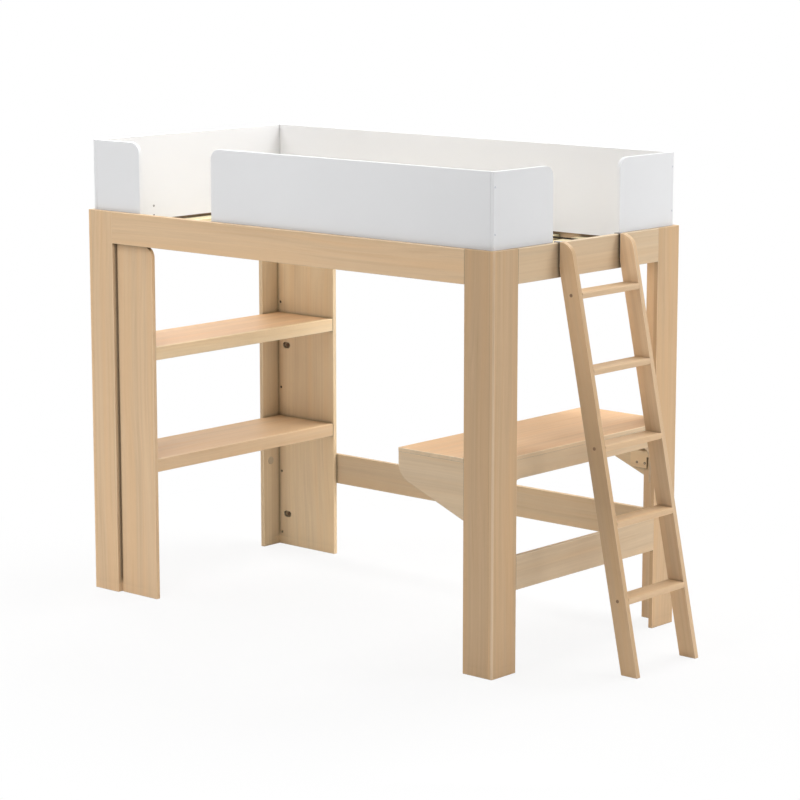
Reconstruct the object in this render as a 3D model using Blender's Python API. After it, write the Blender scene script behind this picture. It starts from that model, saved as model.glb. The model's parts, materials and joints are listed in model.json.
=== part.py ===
"""Loft bed: a slatted platform with white guards, over an open shelf unit and a desk.

Metres, +Z up. The front faces -Y. The shelves stand at the -X end, the desk at the +X end,
and a ladder hooks over the +X end rail. The origin is on the floor, under the middle of
the bed and its ladder together.
"""

import math

import bmesh
import bpy
from mathutils import Matrix, Vector

# Clearances
seat = 0.0003  # between two faces that touch
hook_play = 0.0007  # between a hook and the inner face of the rail
slat_play = 0.001  # beside the outer slats and past the ends of every slat

# Frame of the bed
frame_length = 2.020
frame_depth = 1.062
frame_height = 1.490
board = 0.018
leg_end_width = 0.130
leg_front_width = 0.114
leg_corner_radius = 0.0045
edge_ease = 0.001
upper_rail_height = 0.122
stretcher_height = 0.122
stretcher_base = 0.297

# Shelf unit
panel_width = 0.311
panel_corner_radius = 0.042
shelf_setback = 0.003
shelf_tops = {"upper": 0.982, "lower": 0.548}
shelf_lip_height = 0.050

# Desk
desk_height = 0.766
desk_thickness = 0.015
desk_width = 0.414
desk_corner_radius = 0.003
bracket_setback = 0.002
bracket_tip_height = 0.0855
bracket_root_height = 0.2055
bracket_corner_radius = 0.070
apron_height = 0.067
apron_arch_radius = 0.055
cleat_length = 0.144
cleat_height = 0.065
cleat_drop = 0.111

# Guards
guard_thickness = 0.015
guard_height = 0.330
guard_rise = 0.267
guard_corner_radius = 0.042
short_guard_length = 0.236
front_entry_width = 0.383
ladder_entry_width = 0.380

# Slatted platform
slat_count = 12
slat_width = 0.076
slat_thickness = 0.020
ledge_height = 0.028
ledge_width = 0.040
ribbon_width = 0.033
ribbon_thickness = 0.0015
ribbon_inset = 0.079

# Ladder
ladder_width = 0.366
ladder_gap = 0.006
ladder_reach = 0.365
stile_thickness = 0.020
stile_width = 0.0695
stile_rise = 0.003
stile_knee_drop = 0.095
stile_top_radius = 0.060
tread_count = 5
tread_thickness = 0.022
tread_nose_radius = 0.005
first_tread_top = 0.272
last_tread_drop = 0.168
hook_plate = 0.003
hook_width = 0.016
hook_bend_radius = 0.0015
hook_drop = 0.035
hook_length = 0.085

# Places that follow from the sizes above, measured from the bed's outer corner at the floor
whole_length = frame_length + ladder_reach
inner_right = frame_length - board
inner_rear = frame_depth - board
post_left = board + leg_front_width
post_right = frame_length - post_left
rail_base = frame_height - upper_rail_height
slat_base = rail_base + ledge_height + seat
slat_top = slat_base + slat_thickness
guard_top = frame_height + guard_rise
guard_base = guard_top - guard_height
desk_underside = desk_height - desk_thickness
desk_left = inner_right - desk_width
bracket_root_base = desk_underside - bracket_root_height
knee_height = frame_height - stile_knee_drop
ladder_lean_share = (ladder_reach - ladder_gap - stile_width) / knee_height
tread_pitch = (frame_height - last_tread_drop - first_tread_top) / (tread_count - 1)

# Arcs: the widest step of a turn, and the sharpest turn that still shades smooth
arc_step = math.radians(15)
smooth_turn = math.radians(30)

# Finishes: colour, roughness and metallic value
finishes = {
    "pale_wood": ((0.66, 0.46, 0.28), 0.5, 0.0),
    "slat_wood": ((0.80, 0.66, 0.42), 0.6, 0.0),
    "white_lacquer": ((0.85, 0.85, 0.86), 0.35, 0.0),
    "dark_webbing": ((0.03, 0.025, 0.02), 0.9, 0.0),
    "hook_steel": ((0.42, 0.41, 0.43), 0.35, 1.0),
}

# Where an outline's two directions and its depth go in X, Y and Z
layouts = {
    "X": lambda across, up, deep: (deep, across, up),
    "Y": lambda across, up, deep: (across, deep, up),
    "Z": lambda across, up, deep: (across, up, deep),
}


def clear_scene():
    for old in list(bpy.data.objects):
        bpy.data.objects.remove(old, do_unlink=True)


def make_empty(name, place, parent=None):
    empty = bpy.data.objects.new(name, None)
    empty.location = place
    empty.parent = parent
    bpy.context.scene.collection.objects.link(empty)
    return empty


def make_material(name, finish):
    colour, roughness, metallic = finishes[finish]
    made = bpy.data.materials.new(name)
    made.use_nodes = True
    shader = made.node_tree.nodes["Principled BSDF"]
    shader.inputs["Base Color"].default_value = (*colour, 1.0)
    shader.inputs["Roughness"].default_value = roughness
    shader.inputs["Metallic"].default_value = metallic
    return made


def arc_points(corner, before, after, radius):
    """The arc of that radius which touches both sides of a corner of the outline."""
    corner, before, after = Vector(corner), Vector(before), Vector(after)
    back = (before - corner).normalized()
    ahead = (after - corner).normalized()
    half = back.angle(ahead) / 2
    middle = corner + (back + ahead).normalized() * (radius / math.sin(half))
    first = corner + back * (radius / math.tan(half)) - middle
    last = corner + ahead * (radius / math.tan(half)) - middle
    start = math.atan2(first.y, first.x)
    turn = math.remainder(math.atan2(last.y, last.x) - start, math.tau)
    steps = max(3, math.ceil(abs(turn) / arc_step))
    angles = [start + turn * step / steps for step in range(steps + 1)]
    return [middle + radius * Vector((math.cos(a), math.sin(a))) for a in angles]


def rounded_outline(corners):
    """The outline through corners, each (across, up) or (across, up, radius)."""
    outline = []
    for index, corner in enumerate(corners):
        if len(corner) == 2:
            outline.append(Vector(corner))
            continue
        before = corners[index - 1][:2]
        after = corners[(index + 1) % len(corners)][:2]
        outline.extend(arc_points(corner[:2], before, after, corner[2]))
    return outline


def place_in_bed(parent):
    """Where a parent empty stands, measured from the bed's corner, which has no parent."""
    return parent.location if parent.parent else Vector()


def make_prism(name, corners, axis, start, end, finish, parent):
    """A board: an outline square to the axis, carried from start to end, its edges eased."""
    layout = layouts[axis]
    shape = bmesh.new()
    ring = [shape.verts.new(layout(p.x, p.y, start)) for p in rounded_outline(corners)]
    face = shape.faces.new(ring)
    grown = bmesh.ops.extrude_face_region(shape, geom=[face])["geom"]
    far_ring = [item for item in grown if isinstance(item, bmesh.types.BMVert)]
    bmesh.ops.translate(shape, verts=far_ring, vec=layout(0, 0, end - start))
    bmesh.ops.recalc_face_normals(shape, faces=shape.faces)
    low = Vector([min(v.co[i] for v in shape.verts) for i in range(3)])
    bmesh.ops.transform(shape, matrix=Matrix.Translation(-low), verts=shape.verts)
    mesh = bpy.data.meshes.new(name)
    shape.to_mesh(mesh)
    shape.free()
    mesh.shade_smooth()
    mesh.set_sharp_from_angle(angle=smooth_turn)
    mesh.materials.append(make_material(f"{name}_finish", finish))
    piece = bpy.data.objects.new(name, mesh)
    piece.parent = parent
    piece.location = low - place_in_bed(parent)
    bpy.context.scene.collection.objects.link(piece)
    ease = piece.modifiers.new("eased_edges", "BEVEL")
    ease.width = min(edge_ease, (end - start) / 4)
    ease.segments = 1
    ease.limit_method = "ANGLE"
    ease.angle_limit = smooth_turn
    return piece


def make_board(name, low, high, finish, parent):
    corners = [(low[0], low[1]), (high[0], low[1]), (high[0], high[1]), (low[0], high[1])]
    return make_prism(name, corners, "Z", low[2], high[2], finish, parent)


def mirrored(corners, length):
    """The same outline seen from the other end of a length, in the same turning sense."""
    return [(length - corner[0], *corner[1:]) for corner in reversed(corners)]


def make_legs(bed):
    """Each leg is two boards: one along the bed's end, and one that butts against it."""
    end_board = [
        (0, 0, leg_corner_radius),
        (board, 0),
        (board, leg_end_width),
        (0, leg_end_width),
    ]
    for side, right in (("left", False), ("right", True)):
        near = mirrored(end_board, frame_length) if right else end_board
        far = [(across, frame_depth - up, *rest) for across, up, *rest in reversed(near)]
        make_prism(f"front_{side}_leg_end_board", near, "Z", 0, frame_height, "pale_wood", bed)
        make_prism(f"rear_{side}_leg_end_board", far, "Z", 0, frame_height, "pale_wood", bed)
        low = post_right if right else board + seat
        high = inner_right - seat if right else post_left
        for face, start in (("front", 0), ("rear", inner_rear)):
            name = f"{face}_{side}_leg_{face}_board"
            make_board(name, (low, start, 0), (high, start + board, frame_height), "pale_wood", bed)


def make_rails(bed):
    for face, start in (("front", 0), ("rear", inner_rear)):
        low = (post_left + seat, start, rail_base)
        high = (post_right - seat, start + board, frame_height)
        make_board(f"{face}_rail", low, high, "pale_wood", bed)
    for side, start in (("left", 0), ("right", inner_right)):
        low = (start, leg_end_width + seat, rail_base)
        high = (start + board, frame_depth - leg_end_width - seat, frame_height)
        make_board(f"{side}_end_rail", low, high, "pale_wood", bed)


def make_stretchers(bed):
    top = stretcher_base + stretcher_height
    low = (post_left + seat, inner_rear, stretcher_base)
    high = (post_right - seat, frame_depth, top)
    make_board("rear_stretcher", low, high, "pale_wood", bed)
    low = (inner_right, leg_end_width + seat, stretcher_base)
    high = (frame_length, frame_depth - leg_end_width - seat, top)
    make_board("right_end_stretcher", low, high, "pale_wood", bed)


def make_shelf_unit(bed):
    panel_right = board + panel_width
    panel = [
        (board + seat, 0),
        (panel_right, 0),
        (panel_right, rail_base - seat, panel_corner_radius),
        (board + seat, rail_base - seat),
    ]
    front_inner = 2 * board
    rear_inner = frame_depth - front_inner
    make_prism("front_shelf_panel", panel, "Y", board + seat, front_inner, "pale_wood", bed)
    make_prism("rear_shelf_panel", panel, "Y", rear_inner, inner_rear - seat, "pale_wood", bed)
    front, rear = front_inner + seat, rear_inner - seat
    lip_right = panel_right - shelf_setback
    lip_left = lip_right - board
    for level, top in shelf_tops.items():
        low = (board + seat, front, top - board)
        make_board(f"{level}_shelf", low, (lip_left - seat, rear, top), "pale_wood", bed)
        low = (lip_left, front, top - shelf_lip_height)
        make_board(f"{level}_shelf_lip", low, (lip_right, rear, top), "pale_wood", bed)


def make_desk(bed):
    notch, right = post_right - seat, inner_right - seat
    top = [
        (desk_left, 0, desk_corner_radius),
        (notch, 0),
        (notch, board + seat),
        (right, board + seat),
        (right, inner_rear - seat),
        (notch, inner_rear - seat),
        (notch, frame_depth),
        (desk_left, frame_depth, desk_corner_radius),
    ]
    make_prism("desk_top", top, "Z", desk_underside, desk_height, "pale_wood", bed)

    bracket_left = desk_left + bracket_setback
    bracket = [
        (bracket_left, desk_underside - bracket_tip_height, bracket_corner_radius),
        (notch, bracket_root_base),
        (notch, desk_underside - seat),
        (bracket_left, desk_underside - seat),
    ]
    make_prism("front_desk_bracket", bracket, "Y", 0, board, "pale_wood", bed)
    make_prism("rear_desk_bracket", bracket, "Y", inner_rear, frame_depth, "pale_wood", bed)

    arch_top = desk_underside - apron_height
    arch_front, arch_rear = leg_end_width, frame_depth - leg_end_width
    apron = [
        (board + seat, bracket_root_base),
        (arch_front, bracket_root_base),
        (arch_front, arch_top, apron_arch_radius),
        (arch_rear, arch_top, apron_arch_radius),
        (arch_rear, bracket_root_base),
        (inner_rear - seat, bracket_root_base),
        (inner_rear - seat, desk_underside - seat),
        (board + seat, desk_underside - seat),
    ]
    apron_left = inner_right - board
    make_prism("desk_apron", apron, "X", apron_left, right, "pale_wood", bed)

    cleat_right = apron_left - seat
    cleat_top = desk_underside - cleat_drop
    for face, start in (("front", board + seat), ("rear", inner_rear - board)):
        low = (cleat_right - cleat_length, start, cleat_top - cleat_height)
        high = (cleat_right, start + board - seat, cleat_top)
        make_board(f"{face}_desk_cleat", low, high, "pale_wood", bed)


def make_guards(bed):
    """White boards inside the rails, with a round top corner beside each way in."""
    near, far = board + seat, inner_rear - seat
    left, right = board + seat, inner_right - seat
    left_face, right_face = board + guard_thickness, inner_right - guard_thickness
    short_end = left_face + seat + short_guard_length
    long_start = short_end + front_entry_width
    ladder_front = (frame_depth - ladder_entry_width) / 2
    ladder_rear = (frame_depth + ladder_entry_width) / 2

    def guard(name, axis, span, depth, round_low=False, round_high=False):
        """A guard across span, its thickness over depth, round at the low or high end."""
        low_corner = (guard_corner_radius,) if round_low else ()
        high_corner = (guard_corner_radius,) if round_high else ()
        corners = [
            (span[0], guard_base),
            (span[1], guard_base),
            (span[1], guard_top, *high_corner),
            (span[0], guard_top, *low_corner),
        ]
        make_prism(name, corners, axis, *depth, "white_lacquer", bed)

    left_depth, right_depth = (left, left_face), (right_face, right)
    front_depth = (near, board + guard_thickness)
    rear_depth = (inner_rear - guard_thickness, far)
    guard("left_end_guard", "X", (near, far), left_depth)
    guard("rear_guard", "Y", (left_face + seat, right_face - seat), rear_depth)
    guard("front_short_guard", "Y", (left_face + seat, short_end), front_depth, round_high=True)
    guard("front_long_guard", "Y", (long_start, right_face - seat), front_depth, round_low=True)
    guard("right_end_front_guard", "X", (near, ladder_front), right_depth, round_high=True)
    guard("right_end_rear_guard", "X", (ladder_rear, far), right_depth, round_low=True)


def make_platform(bed):
    left, right = board + seat, inner_right - seat
    for face, low_y in (("front", board + seat), ("rear", inner_rear - ledge_width - seat)):
        low = (left, low_y, rail_base)
        high = (right, low_y + ledge_width, rail_base + ledge_height)
        make_board(f"{face}_slat_ledge", low, high, "slat_wood", bed)

    first = board + slat_play
    pitch = (inner_right - slat_play - slat_width - first) / (slat_count - 1)
    for index in range(slat_count):
        start = first + index * pitch
        low = (start, board + slat_play, slat_base)
        high = (start + slat_width, inner_rear - slat_play, slat_top)
        make_board(f"slat_{index + 1:02d}", low, high, "slat_wood", bed)

    front_edge = board + ribbon_inset
    rear_edge = inner_rear - ribbon_inset - ribbon_width
    for face, low_y in (("front", front_edge), ("rear", rear_edge)):
        low = (left, low_y, slat_top + seat)
        high = (right, low_y + ribbon_width, slat_top + seat + ribbon_thickness)
        make_board(f"{face}_slat_ribbon", low, high, "dark_webbing", bed)


def stile_front(height):
    return whole_length - height * ladder_lean_share


def stile_back(height):
    return stile_front(height) - stile_width


def make_ladder(bed):
    """The ladder lifts straight up off the end rail, so its parent stands where it hooks on."""
    ladder = make_empty("ladder_lift", (frame_length, frame_depth / 2, frame_height), bed)
    back = frame_length + ladder_gap
    top = frame_height + stile_rise
    stile = [
        (stile_back(0), 0),
        (stile_front(0), 0),
        (stile_front(top), top, stile_top_radius),
        (back, top),
        (back, knee_height),
    ]
    front = (frame_depth - ladder_width) / 2
    rear = (frame_depth + ladder_width) / 2
    starts = {"front": front, "rear": rear - stile_thickness}
    for face, start in starts.items():
        end = start + stile_thickness
        make_prism(f"{face}_ladder_stile", stile, "Y", start, end, "pale_wood", ladder)

    low_y = starts["front"] + stile_thickness + seat
    high_y = starts["rear"] - seat
    for index in range(tread_count):
        tread_top = first_tread_top + index * tread_pitch
        base = tread_top - tread_thickness
        middle = tread_top - tread_thickness / 2
        tread = [
            (stile_back(middle), base),
            (stile_front(middle), base, tread_nose_radius),
            (stile_front(middle), tread_top, tread_nose_radius),
            (stile_back(middle), tread_top),
        ]
        make_prism(f"tread_{index + 1}", tread, "Y", low_y, high_y, "pale_wood", ladder)

    make_hooks(ladder, starts, back - seat)


def make_hooks(ladder, starts, plate_back):
    """A bent plate on the back of each stile, which goes over the rail and down behind it."""
    under = frame_height + seat
    over = under + hook_plate
    tongue_right = inner_right - hook_play
    tongue_left = tongue_right - hook_plate
    tip = frame_height - hook_drop
    hook = [
        (plate_back - hook_plate, frame_height - hook_length),
        (plate_back, frame_height - hook_length),
        (plate_back, over, hook_bend_radius),
        (tongue_left, over, hook_bend_radius),
        (tongue_left, tip),
        (tongue_right, tip),
        (tongue_right, under),
        (plate_back - hook_plate, under),
    ]
    for face, start in starts.items():
        low = start + (stile_thickness - hook_width) / 2
        make_prism(f"{face}_ladder_hook", hook, "Y", low, low + hook_width, "hook_steel", ladder)


def main():
    clear_scene()
    bed = make_empty("bed_corner", (-whole_length / 2, -frame_depth / 2, 0))
    make_legs(bed)
    make_rails(bed)
    make_stretchers(bed)
    make_shelf_unit(bed)
    make_desk(bed)
    make_guards(bed)
    make_platform(bed)
    make_ladder(bed)


main()
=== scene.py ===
"""Looks of the loft bed: pale wood boards, white guards, a slatted platform and a ladder.

Metres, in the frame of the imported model: +Z up, the front faces -Y, and the origin is on
the floor under the middle of the bed and its ladder.
"""

import json
import math

import bmesh
import bpy
from mathutils import Matrix, Vector

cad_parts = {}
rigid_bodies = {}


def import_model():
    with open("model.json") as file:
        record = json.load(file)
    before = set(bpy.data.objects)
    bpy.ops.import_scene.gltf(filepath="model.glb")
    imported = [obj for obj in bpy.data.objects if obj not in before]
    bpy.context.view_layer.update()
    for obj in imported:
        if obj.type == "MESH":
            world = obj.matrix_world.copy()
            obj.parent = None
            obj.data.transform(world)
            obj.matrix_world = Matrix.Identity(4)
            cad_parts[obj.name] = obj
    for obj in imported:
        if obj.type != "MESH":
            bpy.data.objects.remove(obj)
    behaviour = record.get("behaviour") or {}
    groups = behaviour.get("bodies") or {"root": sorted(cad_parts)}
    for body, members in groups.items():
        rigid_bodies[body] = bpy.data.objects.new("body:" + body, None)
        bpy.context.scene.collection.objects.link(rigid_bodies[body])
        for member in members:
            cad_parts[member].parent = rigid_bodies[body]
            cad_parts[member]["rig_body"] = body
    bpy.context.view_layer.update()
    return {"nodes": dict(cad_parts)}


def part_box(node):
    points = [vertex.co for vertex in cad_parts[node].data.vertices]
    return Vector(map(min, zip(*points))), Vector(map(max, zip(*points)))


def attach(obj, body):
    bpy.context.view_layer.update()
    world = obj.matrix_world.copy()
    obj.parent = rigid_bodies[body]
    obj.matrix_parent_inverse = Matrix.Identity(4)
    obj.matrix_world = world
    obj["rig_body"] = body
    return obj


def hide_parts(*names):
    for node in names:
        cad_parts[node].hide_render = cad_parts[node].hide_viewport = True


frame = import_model()

# Edges of boards
square = 0.0  # where two boards meet flush
soft_edge = 0.0015
rail_round = 0.003
slat_round = 0.003
leg_round = 0.006
rim_ease = 0.0012
eased_rims = (rim_ease, rim_ease)
seam_ease = 0.0004
ease_segments = 2

# How finely curves are cut, and the turns that count as sharp
arc_step = math.radians(9)
small_arc_step = 3 * arc_step  # for a radius of leg_round or less
turned_steps = 36
hexagon_step = math.tau / 6
sharp_turn = math.radians(32)
smooth_turn = math.radians(50)
merge_reach = 0.00004
cut_overrun = 0.002

# Painted highlight on eased edges, and painted shade on those that look down: (widest face that counts
# as one, how strongly the highlight is painted)
usual_painted_edges = (0.0023, 1.0)
leg_painted_edges = (0.0032, 1.2)
desk_painted_edges = (0.0023, 1.4)
no_painted_edges = (0.0, 0.0)
full_edge_highlight = 2.0  # takes all of edge_highlight_tone, the painted highlight's colour
edge_highlight_tone = (1.34, 1.50, 1.75)
under_edge_shade = -2.0  # painted shade instead of a painted highlight, on an eased edge that looks down
under_edge_shade_share = 0.6

# Which way a face looks, by its normal
looks_down = -0.2  # Z no higher than this
looks_ahead = -0.7  # Y no higher than this
looks_up = 0.9  # Z above this

# Shapes that the boxes of the nodes don't give
panel_corner = 0.042
guard_corner = 0.042
desk_corner = 0.003
desk_rim = 0.0022
bracket_tip = 0.0855
bracket_corner = 0.070
apron_drop = 0.067
apron_arch = 0.055
arch_spread = 0.012
stile_width = 0.0695
stile_knee_drop = 0.098
stile_corner = 0.0575
tread_nose = 0.005
hook_plate = 0.003
hook_tongue = 0.035
hook_bend = 0.0015
hook_inner_bend = 0.0008
hook_edge = 0.0005
hook_rim = 0.0004

# Bolt and screw heads: (radius, height, how deep the foot is sunk, finish)
heads = {
    "panel_bolt": (0.00713, 0.00484, 0.0099, "bronze_bolt"),
    "ladder_bolt": (0.0062, 0.00132, 0.0, "bronze_bolt"),
    "guard_bolt": (0.004, 0.0012, 0.0003, "dark_bolt"),
    "guard_screw": (0.0036, 0.0012, 0.0003, "pale_screw"),
    "cleat_screw": (0.0046, 0.0012, 0.0003, "dark_bolt"),
}

# Profiles from the foot on, in shares of the radius and the height
head_shares = (
    (0.96, 0.0),
    (1.0, 0.3),
    (0.97, 0.8),
    (0.86, 1.0),
    (0.56, 1.0),
    (0.50, 0.94),
    (0.48, 0.15),
)
head_socket = (4, 5, 6)  # the points that turn into a hexagon
plug_shares = ((1.0, 0.0), (1.0, 0.6), (0.94, 1.0))

# Holes, slots, grooves and plugs
pocket_length = 0.041
pocket_width = 0.026
pocket_depth = 0.011
dowel_radius = 0.0052
dowel_depth = 0.010
dowel_corner_share = 0.998
groove_width = 0.010
groove_depth = 0.005
cleat_slot_width = 0.013
cleat_slot_depth = 0.006
plug_radius = 0.015
plug_height = 0.0012

# Places of fasteners and cuts, in from the board's own edges
pocket_inset = 0.046
pocket_rises = (0.131, 0.489, 0.846, 1.204)
dowel_inset = 0.014
dowel_rises = (0.050, 0.311, 0.667, 1.024)
plug_inset = 0.044
plug_rise = 0.361
guard_screw_inset = 0.007
guard_screw_drops = (0.0525, 0.213)
guard_bolt_inset = 0.297
guard_bolt_rises = (0.016, 0.053)
cleat_screw_insets = (0.030, 0.066)
cleat_screw_rise = 0.0195
cleat_slot_inset = 0.0745
cleat_slot_drop = 0.022

# Treads that the stiles show a bolt for
bolted_treads = ("tread_1", "tread_3", "tread_5")

# Tones of boards beside the usual one: partly the way boards from different trees vary, and partly
# painted light, paler on boards in shade and darker on boards in strong light
usual_tone = (1.0, 1.0, 1.0)
cream_tone = (1.13, 1.22, 1.27)
cool_tone = (0.97, 1.05, 1.10)
ashen_tone = (0.95, 1.02, 1.10)
rosy_tone = (0.99, 0.90, 0.83)
warm_tone = (1.04, 0.97, 0.92)
grey_tone = (0.90, 0.95, 0.99)
muted_tone = (0.89, 0.87, 0.84)
dusky_tone = (0.81, 0.785, 0.755)
plug_tone = (0.78, 0.88, 0.98)
tones_with_painted_light = {
    "rear_shelf_panel": cream_tone,
    "rear_left_leg_end_board": cool_tone,
    "upper_shelf_lip": cream_tone,
    "desk_apron": ashen_tone,
    "front_desk_bracket": ashen_tone,
    "rear_desk_bracket": cream_tone,
    "rear_desk_cleat": cream_tone,
    "right_end_rail": ashen_tone,
    "right_end_stretcher": ashen_tone,
    "desk_top": warm_tone,
    "upper_shelf": rosy_tone,
    "front_ladder_stile": muted_tone,
    "front_right_leg_end_board": muted_tone,
    "rear_right_leg_end_board": muted_tone,
    "rear_stretcher": grey_tone,
    "front_right_leg_front_board": dusky_tone,
    "lower_shelf": muted_tone,
    "front_leg_plug": plug_tone,
    "rear_leg_plug": plug_tone,
}
rim_tones = {"desk_top": ashen_tone}  # where a board's rim differs from its top

# Painted shadow and light on the front sides of the ladder's stiles: how light they are at some
# heights (metres, share)
stile_painted_shadows = {
    "front_ladder_stile": ((0.0, 1.02), (0.45, 0.86), (0.60, 0.74), (0.78, 0.78), (1.45, 1.16)),
    "rear_ladder_stile": ((0.0, 0.94), (0.75, 0.88), (0.95, 1.12), (1.45, 1.18)),
}
no_painted_shadow = ((0.0, 1.0),)
painted_shadow_step = 0.05

# Light that bounces off the wood carries less of its colour
board_bounce = (1.0, 1.16, 1.50)
slat_bounce = (1.0, 1.04, 1.28)

# Noise: (waves in a metre along, across and through the grain, detail), where a minus sign
# takes a layer from elsewhere in the same noise
noise_middle = (0.3, 0.7)  # nearly all of a noise lies between these
sway_noise = ((0.8, 1.6, 1.6), 1.0)
sway_reach = 0.08
wood_noise = {
    "broad": ((0.45, 13.0, 13.0), 1.5),
    "bands": ((0.8, 66.0, 66.0), 2.0),
    "lines": ((2.0, 190.0, 190.0), 2.0),
    "veins": ((0.6, -88.0, 88.0), 1.0),
    "fibres": ((22.0, 1500.0, 1500.0), 1.5),
    "warmth": ((0.6, 19.0, -19.0), 2.0),
}
lacquer_cloud = ((3.0, 3.0, 3.0), 2.0)
lacquer_ripple = ((420.0, 420.0, 420.0), 1.0)
steel_noise = ((60.0, 2400.0, 2400.0), 2.0)
grain_shift = (3.7, 1.31, 0.73)  # from one piece's grain to the next one's

# Wood
wood_shine = 0.15
depth_weights = {"broad": 0.42, "bands": 0.36, "lines": 0.22}
depth_range = (0.36, 0.64)
warmth_range = (0.40, 0.64)
warmth_levels = (0.0, 0.75)
vein_range = (0.54, 0.70)
vein_levels = (0.0, 0.15)
fibre_levels = (0.975, 1.025)
wood_rough_spread = (-0.04, 0.06)
relief_weights = {"lines": 0.6, "fibres": 0.4}
wood_relief = (0.2, 0.0002)  # strength, depth

# Lacquer, steel and webbing
lacquer_shine = 0.4
lacquer_levels = (0.99, 1.005)
# painted highlight on the lacquer's eased edges, and painted shade on those that look down
lacquer_edge_paint_span = (-5.0, 5.0)
lacquer_edge_paint_levels = (0.75, 1.25)
lacquer_roughness = (0.33, 0.4)
lacquer_relief = (0.12, 0.0001)
steel_levels = (0.9, 1.08)
steel_rough_spread = (-0.05, 0.1)
webbing_shine = 0.1
webbing_roughness = 0.9
webbing_relief = (0.6, 0.0004)
twill_turn = math.radians(45)
twill_scale = 260.0
twill_wobble = 0.4
rib_scale = 190.0
rib_levels = (0.6, 1.0)

# Painted shade where boards meet: (reach, how dark it gets), once close by and once further out
deep_corner_shade = ((0.02, 0.36), (0.07, 0.8))
faint_corner_shade = ((0.012, 0.75), (0.05, 0.96))
lacquer_corner_shade = ((0.006, 0.86), (0.05, 0.98))
openness = (0.2, 0.95)  # what counts as shut in, and as open
corner_samples = 8
floor_gap = (0.03, 0.07)  # heights over the floor where that shade starts

# Studio
floor_reach = 60.0
floor_drop = 0.0005
floor_paint = (0.95, 0.95, 0.95, 1.0)
floor_fade = (1.2, 2.4)
floor_glow = (0.85, 1.0)
plain_white = (1.0, 1.0, 1.0, 1.0)
sky_strength = 0.117
sky_lobes = {(-1, 0, 0): 0.40, (1, 0, 0): 0.485}
lobe_power = 2.0
lamps = {
    "top_left_softbox": ((-2.2, -1.0, 4.0), (-0.6, 0.0, 0.8), (2.0, 2.0), 43.9),
    "top_rear_softbox": ((0.5, 2.0, 4.6), (0.0, 0.0, 1.4), (2.0, 2.0), 114),
    "top_front_softbox": ((0.3, -3.0, 4.2), (0.0, 0.0, 1.2), (1.5, 1.5), 53.0),
    "left_rear_softbox": ((-3.5, 1.5, 3.0), (-0.6, 0.3, 0.9), (2.0, 2.0), 40.9),
    "right_rear_softbox": ((4.0, 2.0, 2.3), (1.0, 0.3, 0.9), (2.0, 2.0), 59.0),
    "low_front_strip": ((-1.5, -2.6, 0.35), (-0.7, 0.5, 0.7), (1.5, 0.5), 7.12),
    "left_foot_strip": ((-1.1, -1.5, 0.15), (-1.1, -0.5, 0.08), (0.8, 0.2), 0.15),
    "right_foot_strip": ((1.6, -1.4, 0.15), (0.9, -0.5, 0.08), (0.8, 0.2), 0.6),
}

# Camera
camera_lens = 123.785
camera_sensor = 36.0
camera_place = (6.67035, -7.62570, 2.62977)
camera_yaw = 0.7234
camera_pitch = 0.1772
camera_reach = 200.0

# Where an outline's two directions and its depth lie, and where the grain's three do
outline_axes = {"X": (1, 2, 0), "Y": (0, 2, 1), "Z": (0, 1, 2)}
grain_axes = {"X": (0, 1, 2), "Y": (1, 0, 2), "Z": (2, 0, 1)}
rightward = Vector((1, 0, 0))
rearward = Vector((0, 1, 0))
inward_from = {"front": 1, "rear": -1}  # along Y

# The sockets of a Mix node that take its two colours
mix_first = 6
mix_second = 7


# Materials


def put(tree, kind, inputs=None, **settings):
    """A shader node with its settings, each input a value or another node's socket."""
    made = tree.nodes.new(kind)
    for key, value in settings.items():
        setattr(made, key, value)
    for key, value in (inputs or {}).items():
        if isinstance(value, bpy.types.NodeSocket):
            tree.links.new(value, made.inputs[key])
        else:
            made.inputs[key].default_value = value
    return made


def mix(tree, factor, first, second, blend="MIX"):
    """A mix of two colours, each a socket or three numbers."""
    inputs = {0: factor}
    for place, colour in ((mix_first, first), (mix_second, second)):
        is_socket = isinstance(colour, bpy.types.NodeSocket)
        inputs[place] = colour if is_socket else (*colour, 1.0)
    return put(tree, "ShaderNodeMix", inputs, data_type="RGBA", blend_type=blend).outputs[2]


def remap(tree, value, span, to_span=(0.0, 1.0), smooth=False):
    """A value moved from one span to another, and held inside it."""
    low, high = span
    to_low, to_high = to_span
    inputs = {"Value": value, "From Min": low, "From Max": high, "To Min": to_low, "To Max": to_high}
    kind = "SMOOTHSTEP" if smooth else "LINEAR"
    return put(tree, "ShaderNodeMapRange", inputs, interpolation_type=kind).outputs[0]


def maths(tree, kind, first, second=0.0):
    return put(tree, "ShaderNodeMath", {0: first, 1: second}, operation=kind).outputs[0]


def product(tree, *levels):
    result = 1.0
    for level in levels:
        result = maths(tree, "MULTIPLY", result, level)
    return result


def weighted(tree, layers, weights):
    """The sum of some layers, each times its weight."""
    result = 0.0
    for layer, weight in weights.items():
        result = maths(tree, "ADD", result, maths(tree, "MULTIPLY", layers[layer], weight))
    return result


def scaled(tree, colour, level):
    inputs = {0: colour, "Scale": level}
    return put(tree, "ShaderNodeVectorMath", inputs, operation="SCALE").outputs[0]


def attribute(tree, name, output):
    return put(tree, "ShaderNodeAttribute", attribute_name=name).outputs[output]


def noise_of(tree, place, scale, detail):
    """Noise over place, whose three directions have their own scale."""
    inputs = {0: place, 1: scale}
    stretched = put(tree, "ShaderNodeVectorMath", inputs, operation="MULTIPLY").outputs[0]
    inputs = {"Vector": stretched, "Scale": 1.0, "Detail": detail}
    return put(tree, "ShaderNodeTexNoise", inputs).outputs["Fac"]


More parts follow.
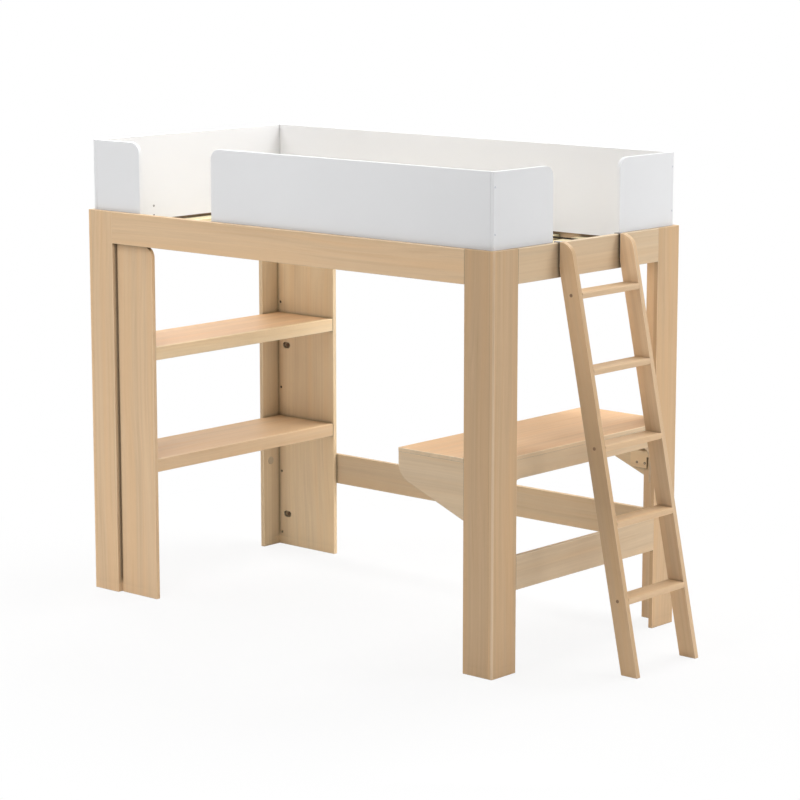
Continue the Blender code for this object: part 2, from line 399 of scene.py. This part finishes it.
def painted_corner_shade(tree, corners):
    """Painted shade: 1 in the open, less in a narrow corner and beside another board, but not on the
    floor.
    """
    shades = []
    for reach, darkest in corners:
        inputs = {"Distance": reach}
        air = put(tree, "ShaderNodeAmbientOcclusion", inputs, samples=corner_samples).outputs["AO"]
        shades.append(remap(tree, air, openness, (darkest, 1.0), smooth=True))
    place = put(tree, "ShaderNodeNewGeometry").outputs["Position"]
    height = put(tree, "ShaderNodeSeparateXYZ", {0: place}).outputs["Z"]
    near_floor = remap(tree, height, floor_gap, (1.0, 0.0))
    return maths(tree, "MAXIMUM", product(tree, *shades), near_floor)


def add_relief(tree, shader, height, strength, depth):
    inputs = {"Strength": strength, "Distance": depth, "Height": height}
    bump = put(tree, "ShaderNodeBump", inputs)
    tree.links.new(bump.outputs[0], shader.inputs["Normal"])


def around(value, spread):
    """The two ends of a spread round a value."""
    below, above = spread
    return (value + below, value + above)


def new_material(name, **values):
    made = bpy.data.materials.new(name)
    made.use_nodes = True
    shader = made.node_tree.nodes["Principled BSDF"]
    for key, value in values.items():
        shader.inputs[key.replace("_", " ")].default_value = value
    return made, made.node_tree, shader


def wood_material(name, pale, deep, blush, vein, roughness, corners, bounce=board_bounce):
    """Straight-grained wood, with painted highlight and shade on eased edges and painted shade in
    corners. Its grain attribute gives metres along, across and through.
    """
    made, tree, shader = new_material(name, Specular_IOR_Level=wood_shine)
    grain = attribute(tree, "grain", "Vector")
    edge = attribute(tree, "edge", "Fac")

    sway = maths(tree, "SUBTRACT", noise_of(tree, grain, *sway_noise), 0.5)
    sway = maths(tree, "MULTIPLY", sway, sway_reach)
    shift = put(tree, "ShaderNodeCombineXYZ", {"Y": sway, "Z": sway}).outputs[0]
    bent = put(tree, "ShaderNodeVectorMath", {0: grain, 1: shift}, operation="ADD").outputs[0]
    noise = {layer: noise_of(tree, bent, *look) for layer, look in wood_noise.items()}

    deepness = remap(tree, weighted(tree, noise, depth_weights), depth_range)
    warmth = remap(tree, noise["warmth"], warmth_range, warmth_levels, smooth=True)
    veins = remap(tree, noise["veins"], vein_range, vein_levels, smooth=True)
    bounced = put(tree, "ShaderNodeLightPath").outputs["Is Diffuse Ray"]
    # painted highlight: how strongly an eased edge is lightened
    glow = remap(tree, edge, (0.0, full_edge_highlight))
    colour = mix(tree, deepness, pale, deep)
    colour = mix(tree, warmth, colour, blush)
    colour = mix(tree, veins, colour, vein)
    # each board's tone, which carries painted light and the stiles' painted shadow
    colour = mix(tree, 1.0, colour, attribute(tree, "tone_and_painted_light", "Color"), "MULTIPLY")
    colour = mix(tree, bounced, colour, bounce, "MULTIPLY")
    # painted highlight: eased edges turn paler and lighter
    colour = mix(tree, glow, colour, edge_highlight_tone, "MULTIPLY")

    fibres = remap(tree, noise["fibres"], noise_middle, fibre_levels)
    # painted shade on eased edges that look down
    under = remap(tree, edge, (under_edge_shade, 0.0), (under_edge_shade_share, 1.0))
    # painted shade in corners and beside other boards
    level = product(tree, fibres, under, painted_corner_shade(tree, corners))
    rough = remap(tree, noise["lines"], noise_middle, around(roughness, wood_rough_spread))
    tree.links.new(scaled(tree, colour, level), shader.inputs["Base Color"])
    tree.links.new(rough, shader.inputs["Roughness"])
    add_relief(tree, shader, weighted(tree, noise, relief_weights), *wood_relief)
    return made


def lacquer_material(name, colour):
    """White lacquer on board, with a faint ripple, painted highlight and shade on its eased edges, and
    painted soft shade in the corners.
    """
    made, tree, shader = new_material(name, Specular_IOR_Level=lacquer_shine)
    place = attribute(tree, "grain", "Vector")
    cloud = noise_of(tree, place, *lacquer_cloud)
    clouded = remap(tree, cloud, noise_middle, lacquer_levels)
    # painted highlight and painted shade on the lacquer's eased edges
    edge = remap(tree, attribute(tree, "edge", "Fac"), lacquer_edge_paint_span, lacquer_edge_paint_levels)
    # painted shade in the lacquer's corners
    level = product(tree, clouded, edge, painted_corner_shade(tree, lacquer_corner_shade))
    rough = remap(tree, cloud, noise_middle, lacquer_roughness)
    tree.links.new(scaled(tree, colour, level), shader.inputs["Base Color"])
    tree.links.new(rough, shader.inputs["Roughness"])
    add_relief(tree, shader, noise_of(tree, place, *lacquer_ripple), *lacquer_relief)
    return made


def steel_material(name, colour, roughness):
    """Metal brushed along its grain."""
    made, tree, shader = new_material(name, Metallic=1.0)
    brushed = noise_of(tree, attribute(tree, "grain", "Vector"), *steel_noise)
    level = remap(tree, brushed, noise_middle, steel_levels)
    rough = remap(tree, brushed, noise_middle, around(roughness, steel_rough_spread))
    tree.links.new(scaled(tree, colour, level), shader.inputs["Base Color"])
    tree.links.new(rough, shader.inputs["Roughness"])
    return made


def webbing_material(name, colour, highlight):
    """A flat ribbon woven in a fine twill."""
    values = {"Roughness": webbing_roughness, "Specular_IOR_Level": webbing_shine}
    made, tree, shader = new_material(name, **values)
    place = attribute(tree, "grain", "Vector")
    inputs = {"Vector": place, "Rotation": (0.0, 0.0, twill_turn)}
    slanted = put(tree, "ShaderNodeMapping", inputs).outputs[0]
    inputs = {"Vector": slanted, "Scale": twill_scale, "Distortion": twill_wobble}
    twill = put(tree, "ShaderNodeTexWave", inputs).outputs["Fac"]
    inputs = {"Vector": place, "Scale": rib_scale}
    ribs = put(tree, "ShaderNodeTexWave", inputs, bands_direction="Y").outputs["Fac"]
    weave = product(tree, twill, remap(tree, ribs, (0.0, 1.0), rib_levels))
    tree.links.new(mix(tree, weave, colour, highlight), shader.inputs["Base Color"])
    add_relief(tree, shader, weave, *webbing_relief)
    return made


pale_wood = {
    "pale": (0.825, 0.598, 0.380),
    "deep": (0.700, 0.492, 0.304),
    "blush": (0.805, 0.550, 0.322),
    "vein": (0.60, 0.37, 0.19),
    "roughness": 0.5,
}
slat_wood = {
    "pale": (0.94, 0.84, 0.57),
    "deep": (0.88, 0.75, 0.47),
    "blush": (0.90, 0.75, 0.46),
    "vein": (0.66, 0.51, 0.32),
    "roughness": 0.55,
    "bounce": slat_bounce,
}
webbing = {"colour": (0.017, 0.013, 0.009), "highlight": (0.045, 0.034, 0.023)}
metals = {
    "hook_steel": ((0.42, 0.41, 0.43), 0.34),
    "bronze_bolt": ((0.30, 0.20, 0.13), 0.45),
    "dark_bolt": ((0.13, 0.11, 0.095), 0.45),
    "pale_screw": ((0.62, 0.64, 0.68), 0.3),
}
materials = {
    "pale_wood": wood_material("pale_wood_finish", corners=deep_corner_shade, **pale_wood),
    "ladder_wood": wood_material("ladder_wood_finish", corners=faint_corner_shade, **pale_wood),
    "slat_wood": wood_material("slat_wood_finish", corners=deep_corner_shade, **slat_wood),
    "white_lacquer": lacquer_material("white_lacquer_finish", (0.865, 0.87, 0.88)),
    "dark_webbing": webbing_material("dark_webbing_finish", **webbing),
}
for metal, look in metals.items():
    materials[metal] = steel_material(f"{metal}_finish", *look)


# Shapes


def arc_points(corner, before, after, radius):
    """The arc of that radius which touches both sides of a corner of the outline."""
    corner, before, after = Vector(corner), Vector(before), Vector(after)
    back = (before - corner).normalized()
    ahead = (after - corner).normalized()
    half = back.angle(ahead) / 2
    middle = corner + (back + ahead).normalized() * (radius / math.sin(half))
    first = corner + back * (radius / math.tan(half)) - middle
    last = corner + ahead * (radius / math.tan(half)) - middle
    start = math.atan2(first.y, first.x)
    turn = math.remainder(math.atan2(last.y, last.x) - start, math.tau)
    finest = arc_step if radius > leg_round else small_arc_step
    steps = max(2, math.ceil(abs(turn) / finest))
    angles = [start + turn * step / steps for step in range(steps + 1)]
    return [middle + radius * Vector((math.cos(a), math.sin(a))) for a in angles]


def rounded_outline(corners):
    """The outline through corners, each (across, up, radius)."""
    outline = []
    for index, (across, up, radius) in enumerate(corners):
        before = corners[index - 1][:2]
        after = corners[(index + 1) % len(corners)][:2]
        if radius:
            outline.extend(arc_points((across, up), before, after, radius))
        else:
            outline.append(Vector((across, up)))
    return outline


def all_round(radius):
    """The same radius for each of a rectangle's corners."""
    return (radius, radius, radius, radius)


def rectangle(left, bottom, right, top, radii):
    """A rectangle's corners, with radii for low-low, high-low, high-high and low-high."""
    places = ((left, bottom), (right, bottom), (right, top), (left, top))
    return [(*place, radius) for place, radius in zip(places, radii)]


def flipped(radii, sideways, upways):
    """A rectangle's radii seen in a mirror across or up."""
    low_low, high_low, high_high, low_high = radii
    if sideways:
        low_low, high_low, high_high, low_high = high_low, low_low, low_high, high_high
    if upways:
        low_low, high_low, high_high, low_high = low_high, high_high, high_low, low_low
    return low_low, high_low, high_high, low_high


def laid_out(axis, across, up, deep):
    """A point of an outline that is carried along the axis."""
    place = Vector()
    for direction, value in zip(outline_axes[axis], (across, up, deep)):
        place[direction] = value
    return place


def sharp_edges(shape):
    """The edges of a mesh where it turns a corner."""
    return [e for e in shape.edges if len(e.link_faces) == 2 and e.calc_face_angle() > sharp_turn]


def ease(shape, edges, radius):
    if edges and radius:
        bmesh.ops.bevel(
            shape,
            geom=edges,
            offset=radius,
            offset_type="OFFSET",
            segments=ease_segments,
            profile=0.5,
            affect="EDGES",
        )
        bmesh.ops.remove_doubles(shape, verts=shape.verts, dist=merge_reach)


def prism(corners, axis, span, eases=(square, square)):
    """An outline carried over span along the axis, with its two rims eased."""
    start, end = span
    shape = bmesh.new()
    ring = [shape.verts.new(laid_out(axis, *point, start)) for point in rounded_outline(corners)]
    face = shape.faces.new(ring)
    grown = bmesh.ops.extrude_face_region(shape, geom=[face])["geom"]
    far_ring = [item for item in grown if isinstance(item, bmesh.types.BMVert)]
    bmesh.ops.translate(shape, verts=far_ring, vec=laid_out(axis, 0, 0, end - start))
    bmesh.ops.recalc_face_normals(shape, faces=shape.faces)
    depth_axis = outline_axes[axis][2]
    for place, radius in zip(span, eases):
        rim = [
            e
            for e in sharp_edges(shape)
            if all(abs(v.co[depth_axis] - place) < merge_reach for v in e.verts)
        ]
        ease(shape, rim, radius)
    return shape


def turned(profile, place, direction, hexed=()):
    """A profile of (radius, height) points turned about a direction, some of them hexagonal."""
    shape = bmesh.new()
    upright = direction.to_track_quat("Z", "Y").to_matrix()
    rings = []
    for index, (radius, height) in enumerate(profile):
        ring = []
        for step in range(turned_steps):
            angle = math.tau * step / turned_steps
            reach = radius
            if index in hexed:
                off_flat = (angle + hexagon_step / 2) % hexagon_step - hexagon_step / 2
                reach = radius / math.cos(off_flat)
            local = Vector((reach * math.cos(angle), reach * math.sin(angle), height))
            ring.append(shape.verts.new(place + upright @ local))
        rings.append(ring)
    for lower, upper in zip(rings, rings[1:]):
        for step in range(turned_steps):
            after = (step + 1) % turned_steps
            shape.faces.new((lower[step], lower[after], upper[after], upper[step]))
    shape.faces.new(rings[0][::-1])
    shape.faces.new(rings[-1])
    bmesh.ops.recalc_face_normals(shape, faces=shape.faces)
    return shape


def placed(name, shape):
    """A new object in the scene with the shape's faces."""
    mesh = bpy.data.meshes.new(name)
    shape.to_mesh(mesh)
    made = bpy.data.objects.new(name, mesh)
    bpy.context.scene.collection.objects.link(made)
    return made


def carved(node, corners, cutters):
    """An outline as deep in Y as its node's box, less its cutters."""
    low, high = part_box(node)
    helpers = []
    for solid in (prism(corners, "Y", (low.y, high.y), eased_rims), *cutters):
        helpers.append(placed("helper", solid))
        solid.free()
    blank = helpers[0]
    for helper in helpers[1:]:
        cut = blank.modifiers.new("cut", "BOOLEAN")
        cut.operation = "DIFFERENCE"
        cut.solver = "FAST"
        cut.object = helper
    bpy.context.view_layer.update()
    graph = bpy.context.evaluated_depsgraph_get()
    result = bmesh.new()
    result.from_mesh(blank.evaluated_get(graph).to_mesh())
    for helper in helpers:
        bpy.data.objects.remove(helper)
    return result


def cut_span(surface, into, depth):
    """From a little outside a surface to depth inside it, where into is 1 or -1."""
    return sorted((surface - into * cut_overrun, surface + into * depth))


# Finished pieces


def painted_edge_value(face, width, glow):
    """0 on a board's sides, the strength of a painted highlight on an eased edge, and less than 0, for
    painted shade, on one that looks down.
    """
    longest = max(edge.calc_length() for edge in face.edges)
    if face.calc_area() >= longest * width:
        return 0.0
    return glow if face.normal.z > looks_down else under_edge_shade


def painted_shadow_share(node, face, height):
    """How light a board's front side is at a height under its painted shadow, between the heights that
    its table gives.
    """
    stops = stile_painted_shadows.get(node, no_painted_shadow)
    if face.normal.y > looks_ahead:
        return 1.0
    for (low, low_share), (high, high_share) in zip(stops, stops[1:]):
        if height <= high:
            along = max(0.0, height - low) / (high - low)
            return low_share + (high_share - low_share) * along
    return stops[-1][1]


def cross_cut(shape, top):
    """Cuts a shape's faces at even heights, so that a painted shadow has points to follow."""
    for step in range(1, math.ceil(top / painted_shadow_step)):
        geometry = [*shape.verts, *shape.edges, *shape.faces]
        height = (0, 0, step * painted_shadow_step)
        bmesh.ops.bisect_plane(shape, geom=geometry, plane_co=height, plane_no=(0, 0, 1))


def set_grain(mesh, number, along, lean):
    """Metres along, across and through the board at each point, moved on by its number."""
    turn = Matrix.Rotation(lean, 3, "Y")
    shift = Vector([number * step for step in grain_shift])
    places = []
    for vertex in mesh.vertices:
        place = turn @ vertex.co
        places.extend(Vector([place[axis] for axis in grain_axes[along]]) + shift)
    mesh.attributes.new("grain", "FLOAT_VECTOR", "POINT")
    mesh.attributes["grain"].data.foreach_set("vector", places)


def set_tones_and_painted_light(shape, mesh, node, painted_edges):
    """The value of each face for its painted edge highlight and shade, and the tone at each of its
    corners, which carries painted light and the stiles' painted shadow.
    """
    edges, colours = [], []
    board_tone = tones_with_painted_light.get(node, usual_tone)
    rim_tone = rim_tones.get(node, board_tone)
    for face in shape.faces:
        edges.append(painted_edge_value(face, *painted_edges))
        tone_and_painted_light = board_tone if face.normal.z > looks_up else rim_tone
        for corner in face.loops:
            # painted shadow on the stiles' front sides
            share = painted_shadow_share(node, face, corner.vert.co.z)
            colours.extend((*(part * share for part in tone_and_painted_light), 1.0))
    mesh.attributes.new("tone_and_painted_light", "FLOAT_COLOR", "CORNER")
    mesh.attributes.new("edge", "FLOAT", "FACE")
    mesh.attributes["tone_and_painted_light"].data.foreach_set("color", colours)
    mesh.attributes["edge"].data.foreach_set("value", edges)


pieces = []


def finish_piece(name, shape, finish, body, along="Z", lean=0.0, node=None, painted_edges=usual_painted_edges):
    """A visible piece, whose grain starts at a place of its own."""
    piece = placed(name, shape)
    mesh = piece.data
    set_grain(mesh, len(pieces) + 1, along, lean)
    set_tones_and_painted_light(shape, mesh, node or name, painted_edges)
    shape.free()
    mesh.shade_smooth()
    mesh.set_sharp_from_angle(angle=smooth_turn)
    mesh.materials.append(materials[finish])
    flatter = piece.modifiers.new("even_shading", "WEIGHTED_NORMAL")
    flatter.keep_sharp = True
    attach(piece, body)
    if node:
        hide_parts(node)
    pieces.append(piece)


def dress(node, shape, along, finish="pale_wood", lean=0.0, painted_edges=usual_painted_edges, ending="wood"):
    """The piece that shows a node, on the node's own body."""
    body = frame["nodes"][node]["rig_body"]
    finish_piece(f"{node}_{ending}", shape, finish, body, along, lean, node, painted_edges)


def board(node, length_axis, radii, eases=(square, square), finish="pale_wood", painted_edges=usual_painted_edges):
    """A straight board that fills its node's box, with a radius for each long edge."""
    low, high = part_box(node)
    across, up, deep = outline_axes[length_axis]
    corners = rectangle(low[across], low[up], high[across], high[up], radii)
    shape = prism(corners, length_axis, (low[deep], high[deep]), eases)
    dress(node, shape, length_axis, finish, painted_edges=painted_edges)


def bolt(name, kind, place, direction, body="bed"):
    """A low round head with a hexagonal socket."""
    radius, height, sink, finish = heads[kind]
    profile = [(radius * wide, height * tall) for wide, tall in head_shares]
    foot = Vector(place) - direction * sink
    finish_piece(name, turned(profile, foot, direction, head_socket), finish, body)


def in_mm(length):
    """A length as it stands in a piece's name."""
    return f"{length * 1000:.0f}"


def numbered(start):
    """The nodes whose names are start and a number, in order."""
    return sorted(node for node in frame["nodes"] if node.removeprefix(start).isdigit())


# Bed


def make_legs():
    end_section = (leg_round, square, soft_edge, soft_edge)
    face_section = (square, soft_edge, soft_edge, square)
    for side in ("left", "right"):
        for face in inward_from:
            turn = (side == "right", face == "rear")
            leg = f"{face}_{side}_leg"
            board(f"{leg}_end_board", "Z", flipped(end_section, *turn), eased_rims, painted_edges=leg_painted_edges)
            board(f"{leg}_{face}_board", "Z", flipped(face_section, *turn), eased_rims)


def make_rails():
    """Rails and stretchers, each rounder along its outer upper edge."""
    section = (soft_edge, soft_edge, soft_edge, rail_round)
    mirrored = flipped(section, True, False)
    board("front_rail", "X", section)
    board("rear_rail", "X", mirrored)
    board("left_end_rail", "Y", section)
    board("right_end_rail", "Y", mirrored)
    board("rear_stretcher", "X", mirrored)
    board("right_end_stretcher", "Y", mirrored)


def make_shelf_unit():
    for face, inward in inward_from.items():
        make_shelf_panel(face, inward)
    for level in ("upper", "lower"):
        board(f"{level}_shelf", "Y", (square, square, square, soft_edge))
        board(f"{level}_shelf_lip", "Y", (soft_edge, soft_edge, soft_edge, square))


def make_shelf_panel(face, inward):
    """An upright panel with sunk bolts and dowel holes on its inner face, a groove outside."""
    node = f"{face}_shelf_panel"
    low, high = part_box(node)
    inner, outer = (high.y, low.y) if inward > 0 else (low.y, high.y)
    cutters = []
    for rise in pocket_rises:
        place = Vector((low.x + pocket_inset, inner, low.z + rise))
        cutters.append(pocket(place, inward))
        name = f"{face}_panel_bolt_{in_mm(rise)}"
        bolt(name, "panel_bolt", place, inward * rearward)
    for rise in dowel_rises:
        place = Vector((low.x + dowel_inset, inner, low.z + rise))
        cutters.append(dowel_hole(place, inward))
    cutters.append(groove(face, low.z, high.z, outer, inward))
    radii = (square, soft_edge, panel_corner, square)
    corners = rectangle(low.x, low.z, high.x, high.z, radii)
    dress(node, carved(node, corners, cutters), "Z")


def pocket(place, inward):
    """A cutter for a round-ended pocket, wider than tall, sunk into a panel's inner face."""
    half, radius = pocket_length / 2, pocket_width / 2
    radii = all_round(radius - merge_reach)
    sides = (place.x - half, place.z - radius, place.x + half, place.z + radius)
    return prism(rectangle(*sides, radii), "Y", cut_span(place.y, -inward, pocket_depth))


def dowel_hole(place, inward):
    """A cutter for a round hole in a panel's inner face."""
    radius = dowel_radius
    radii = all_round(radius * dowel_corner_share)
    sides = (place.x - radius, place.z - radius, place.x + radius, place.z + radius)
    return prism(rectangle(*sides, radii), "Y", cut_span(place.y, -inward, dowel_depth))


def groove(face, bottom, top, outer, inward):
    """A cutter for the shadow gap in a panel's outer face, beside the leg board over it."""
    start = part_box(f"{face}_left_leg_{face}_board")[1].x
    sides = (start, bottom - cut_overrun, start + groove_width, top + cut_overrun)
    return prism(rectangle(*sides, all_round(square)), "Y", cut_span(outer, inward, groove_depth))


def make_desk():
    make_desk_top()
    for face in inward_from:
        make_desk_bracket(face)
    make_desk_apron()
    for face, inward in inward_from.items():
        make_desk_cleat(face, inward)


def make_desk_top():
    """The top, cut out at both right corners round the boards of the legs."""
    low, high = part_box("desk_top")
    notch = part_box("front_desk_bracket")[1].x
    leg_low, leg_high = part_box("front_right_leg_front_board")
    rear_leg_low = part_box("rear_right_leg_rear_board")[0]
    gap = leg_low.x - notch
    corners = [
        (low.x, low.y, desk_corner),
        (notch, low.y, square),
        (notch, leg_high.y + gap, square),
        (high.x, leg_high.y + gap, square),
        (high.x, rear_leg_low.y - gap, square),
        (notch, rear_leg_low.y - gap, square),
        (notch, high.y, square),
        (low.x, high.y, desk_corner),
    ]
    shape = prism(corners, "Z", (low.z, high.z), (seam_ease, desk_rim))
    dress("desk_top", shape, "Y", painted_edges=desk_painted_edges)


def make_desk_bracket(face):
    """A board under the desk's edge, whose lower edge slopes up to a round tip."""
    node = f"{face}_desk_bracket"
    low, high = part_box(node)
    corners = [
        (low.x, high.z - bracket_tip, bracket_corner),
        (high.x, low.z, square),
        (high.x, high.z, square),
        (low.x, high.z, square),
    ]
    dress(node, prism(corners, "Y", (low.y, high.y), eased_rims), "X")


def make_desk_apron():
    """The board under the desk's right end, with an arch in its lower edge."""
    low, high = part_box("desk_apron")
    arch_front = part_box("front_right_leg_end_board")[1].y - arch_spread
    arch_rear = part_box("rear_right_leg_end_board")[0].y + arch_spread
    arch_top = high.z - apron_drop
    corners = [
        (low.y, low.z, square),
        (arch_front, low.z, soft_edge),
        (arch_front, arch_top, apron_arch),
        (arch_rear, arch_top, apron_arch),
        (arch_rear, low.z, soft_edge),
        (high.y, low.z, square),
        (high.y, high.z, square),
        (low.y, high.z, square),
    ]
    dress("desk_apron", prism(corners, "X", (low.x, high.x), (rim_ease, seam_ease)), "Y")


def make_desk_cleat(face, inward):
    """A cleat with a slot up its inner face, open at the bottom, and two screws."""
    node = f"{face}_desk_cleat"
    low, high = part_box(node)
    inner = high.y if inward > 0 else low.y
    start = low.x + cleat_slot_inset
    sides = (start, low.z - cut_overrun, start + cleat_slot_width, high.z - cleat_slot_drop)
    slot = prism(rectangle(*sides, all_round(square)), "Y", cut_span(inner, -inward, cleat_slot_depth))
    corners = rectangle(low.x, low.z, high.x, high.z, all_round(soft_edge))
    dress(node, carved(node, corners, [slot]), "X")
    for inset in cleat_screw_insets:
        place = (low.x + inset, inner, low.z + cleat_screw_rise)
        name = f"{face}_cleat_screw_{in_mm(inset)}"
        bolt(name, "cleat_screw", place, inward * rearward)


def make_guards():
    guard("left_end_guard", "X")
    guard("rear_guard", "Y")
    guard("front_short_guard", "Y", high_corner=guard_corner)
    guard("front_long_guard", "Y", low_corner=guard_corner)
    guard("right_end_front_guard", "X", high_corner=guard_corner)
    guard("right_end_rear_guard", "X", low_corner=guard_corner)
    make_guard_screws()
    make_guard_bolts()


def guard(node, axis, low_corner=soft_edge, high_corner=soft_edge):
    """A white guard as thick as its box along the axis, with radii for its upper corners."""
    low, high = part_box(node)
    across, up, deep = outline_axes[axis]
    radii = (square, square, high_corner, low_corner)
    corners = rectangle(low[across], low[up], high[across], high[up], radii)
    shape = prism(corners, axis, (low[deep], high[deep]), eased_rims)
    dress(node, shape, "X" if axis == "Y" else "Y", "white_lacquer", ending="white")


def make_guard_screws():
    """Screws through the outer faces of the guards at both ends."""
    left_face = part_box("left_end_guard")[0].x
    right_low, right_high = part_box("right_end_front_guard")
    rear_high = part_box("right_end_rear_guard")[1]
    depths = {"front": right_low.y + guard_screw_inset, "rear": rear_high.y - guard_screw_inset}
    for drop in guard_screw_drops:
        height = right_high.z - drop
        for face, depth in depths.items():
            ending = f"guard_screw_{face}_{in_mm(drop)}"
            bolt(f"right_{ending}", "guard_screw", (right_high.x, depth, height), rightward)
            bolt(f"left_{ending}", "guard_screw", (left_face, depth, height), -rightward)


def make_guard_bolts():
    """Bolts low on the inner face of the left guard."""
    low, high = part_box("left_end_guard")
    depths = {"front": low.y + guard_bolt_inset, "rear": high.y - guard_bolt_inset}
    for rise in guard_bolt_rises:
        for face, depth in depths.items():
            name = f"left_guard_bolt_{face}_{in_mm(rise)}"
            bolt(name, "guard_bolt", (high.x, depth, low.z + rise), rightward)


def make_platform():
    for face in inward_from:
        board(f"{face}_slat_ledge", "X", all_round(soft_edge), finish="slat_wood")
    for node in numbered("slat_"):
        board(node, "Y", all_round(slat_round), eased_rims, finish="slat_wood")
    for face in inward_from:
        board(f"{face}_slat_ribbon", "X", all_round(square), finish="dark_webbing")


def make_plugs():
    """Round covers on the inner faces of the left legs' end boards."""
    profile = [(plug_radius * wide, plug_height * tall) for wide, tall in plug_shares]
    for face, inward in inward_from.items():
        low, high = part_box(f"{face}_left_leg_end_board")
        depth = high.y - plug_inset if inward > 0 else low.y + plug_inset
        place = Vector((high.x, depth, plug_rise))
        finish_piece(f"{face}_leg_plug", turned(profile, place, rightward), "pale_wood", "bed")


# Ladder


def make_ladder():
    for face, inward in inward_from.items():
        make_stile(face, -inward)
    section = (soft_edge, tread_nose, tread_nose, soft_edge)
    for node in numbered("tread_"):
        board(node, "Y", section, finish="ladder_wood", painted_edges=no_painted_edges)
    for face in inward_from:
        make_hook(f"{face}_ladder_hook")


def make_stile(face, outward):
    """A leaning stile, upright at the back above its knee, with the bolts of some treads."""
    node = f"{face}_ladder_stile"
    low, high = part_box(node)
    knee = high.z - stile_knee_drop
    foot_back = high.x - stile_width
    lean = (foot_back - low.x) / knee
    corners = [
        (foot_back, 0, soft_edge),
        (high.x, 0, soft_edge),
        (high.x - high.z * lean, high.z, stile_corner),
        (low.x, high.z, soft_edge),
        (low.x, knee, soft_edge),
    ]
    shape = prism(corners, "Y", (low.y, high.y), eased_rims)
    cross_cut(shape, knee)
    dress(node, shape, "Z", "ladder_wood", math.atan(lean))
    outer = high.y if outward > 0 else low.y
    for tread in bolted_treads:
        tread_low, tread_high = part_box(tread)
        middle = (tread_low + tread_high) / 2
        name = f"{face}_ladder_bolt_{tread.removeprefix('tread_')}"
        place = (middle.x, outer, middle.z)
        bolt(name, "ladder_bolt", place, outward * rearward, "ladder")


def make_hook(node):
    """A steel plate bent over the rail, with a short tongue down its inner face."""
    low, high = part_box(node)
    under = high.z - hook_plate
    tip = under - hook_tongue
    corners = [
        (high.x - hook_plate, low.z, hook_edge),
        (high.x, low.z, hook_edge),
        (high.x, high.z, hook_bend),
        (low.x, high.z, hook_bend),
        (low.x, tip, hook_edge),
        (low.x + hook_plate, tip, hook_edge),
        (low.x + hook_plate, under, hook_inner_bend),
        (high.x - hook_plate, under, hook_inner_bend),
    ]
    shape = prism(corners, "Y", (low.y, high.y), (hook_rim, hook_rim))
    dress(node, shape, "Z", "hook_steel", ending="steel")


# Stage


def shown_white(tree):
    """1 for what the camera sees straight, in a reflection or through a clear thing."""
    path = put(tree, "ShaderNodeLightPath").outputs
    mirrored = maths(tree, "MAXIMUM", path["Is Glossy Ray"], path["Is Transmission Ray"])
    return maths(tree, "MAXIMUM", path["Is Camera Ray"], mirrored)


def make_stage():
    """A white floor that shows a faint shadow near the bed and none far away."""
    shape = bmesh.new()
    bmesh.ops.create_grid(shape, x_segments=2, y_segments=2, size=floor_reach)
    floor = placed("floor", shape)
    shape.free()
    floor.location.z = -floor_drop
    made = bpy.data.materials.new("floor_paint")
    made.use_nodes = True
    tree = made.node_tree
    tree.nodes.clear()
    paint = put(tree, "ShaderNodeBsdfDiffuse", {"Color": floor_paint})
    white = put(tree, "ShaderNodeEmission", {"Color": plain_white, "Strength": 1.0})
    place = put(tree, "ShaderNodeNewGeometry").outputs["Position"]
    away = put(tree, "ShaderNodeVectorMath", {0: place}, operation="LENGTH").outputs["Value"]
    glow = remap(tree, away, floor_fade, floor_glow, smooth=True)
    share = product(tree, shown_white(tree), glow)
    blend = put(tree, "ShaderNodeMixShader", {0: share, 1: paint.outputs[0], 2: white.outputs[0]})
    put(tree, "ShaderNodeOutputMaterial", {"Surface": blend.outputs[0]})
    floor.data.materials.append(made)


def make_world():
    """A soft sky, brighter towards each lobe, that the camera sees as plain white."""
    world = bpy.data.worlds.new("studio")
    bpy.context.scene.world = world
    world.use_nodes = True
    tree = world.node_tree
    tree.nodes.clear()
    direction = put(tree, "ShaderNodeTexCoord").outputs["Generated"]
    level = sky_strength
    for lobe, strength in sky_lobes.items():
        towards = put(tree, "ShaderNodeVectorMath", {0: direction, 1: lobe}, operation="DOT_PRODUCT")
        share = maths(tree, "POWER", maths(tree, "MAXIMUM", towards.outputs["Value"]), lobe_power)
        level = maths(tree, "ADD", level, maths(tree, "MULTIPLY", share, strength))
    sky = put(tree, "ShaderNodeBackground", {"Color": plain_white, "Strength": level})
    seen = put(tree, "ShaderNodeBackground", {"Color": plain_white, "Strength": 1.0})
    shaders = {0: shown_white(tree), 1: sky.outputs[0], 2: seen.outputs[0]}
    blend = put(tree, "ShaderNodeMixShader", shaders)
    put(tree, "ShaderNodeOutputWorld", {"Surface": blend.outputs[0]})


def make_lights():
    for name, (place, target, size, power) in lamps.items():
        data = bpy.data.lights.new(name, "AREA")
        data.shape = "RECTANGLE"
        data.size, data.size_y = size
        data.energy = power
        lamp = bpy.data.objects.new(name, data)
        lamp.location = place
        lamp.rotation_euler = (Vector(target) - Vector(place)).to_track_quat("-Z", "Y").to_euler()
        lamp.visible_camera = False
        bpy.context.scene.collection.objects.link(lamp)


def make_camera():
    """A long lens from the front right, looking down a little."""
    data = bpy.data.cameras.new("camera")
    data.lens = camera_lens
    data.sensor_width = camera_sensor
    data.clip_end = camera_reach
    camera = bpy.data.objects.new("camera", data)
    camera.location = camera_place
    camera.rotation_euler = (math.pi / 2 - camera_pitch, 0.0, camera_yaw)
    bpy.context.scene.collection.objects.link(camera)
    bpy.context.scene.camera = camera


make_legs()
make_rails()
make_shelf_unit()
make_desk()
make_guards()
make_platform()
make_ladder()
make_plugs()
make_stage()
make_world()
make_lights()
make_camera()

bpy.context.scene.view_settings.view_transform = "Standard"
